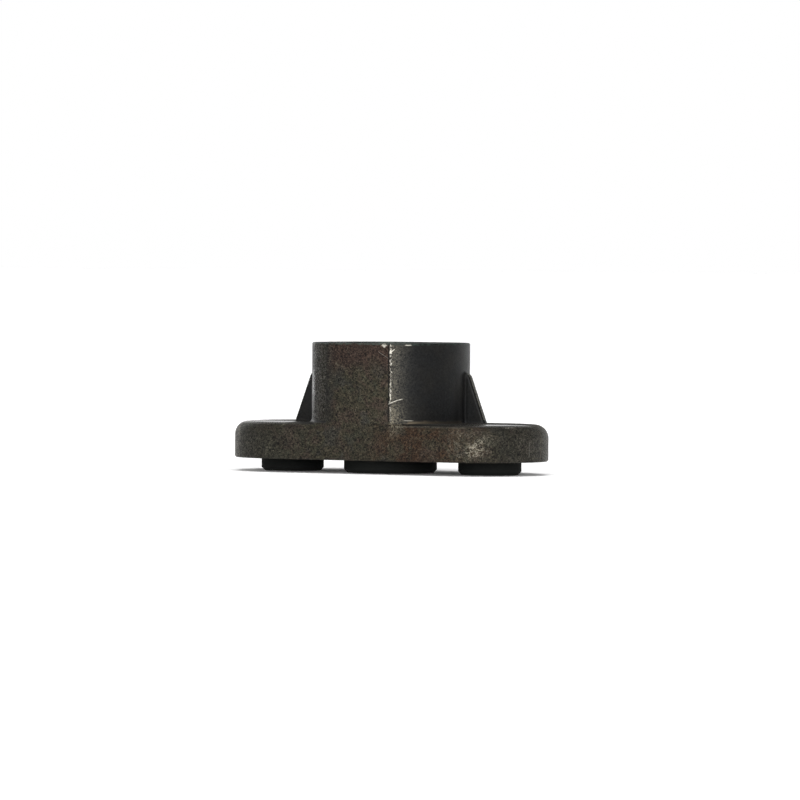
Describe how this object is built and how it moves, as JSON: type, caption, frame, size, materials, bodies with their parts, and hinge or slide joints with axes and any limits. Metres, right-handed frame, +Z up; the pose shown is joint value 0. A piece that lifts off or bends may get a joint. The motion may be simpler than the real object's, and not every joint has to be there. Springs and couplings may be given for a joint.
{
  "type": "mower blade adapter",
  "caption": "Cast blade adapter for a rotary mower: keyed hub with flats flush to an obround flange, side ribs, and drive lugs and a pilot below that carry the blade.",
  "frame": {"origin": "on the axis of the crank bore, level with the lower faces of the lugs and the pilot", "axes": "+X along the flange, +Z up the crank bore towards its mouth"},
  "size_m": [0.0856, 0.036, 0.0331],
  "materials": {
    "casting": "dark oxidised casting, fine grain, edges rubbed bright"
  },
  "bodies": {
    "root": {"blade_adapter": "casting"}
  },
  "joints": []
}
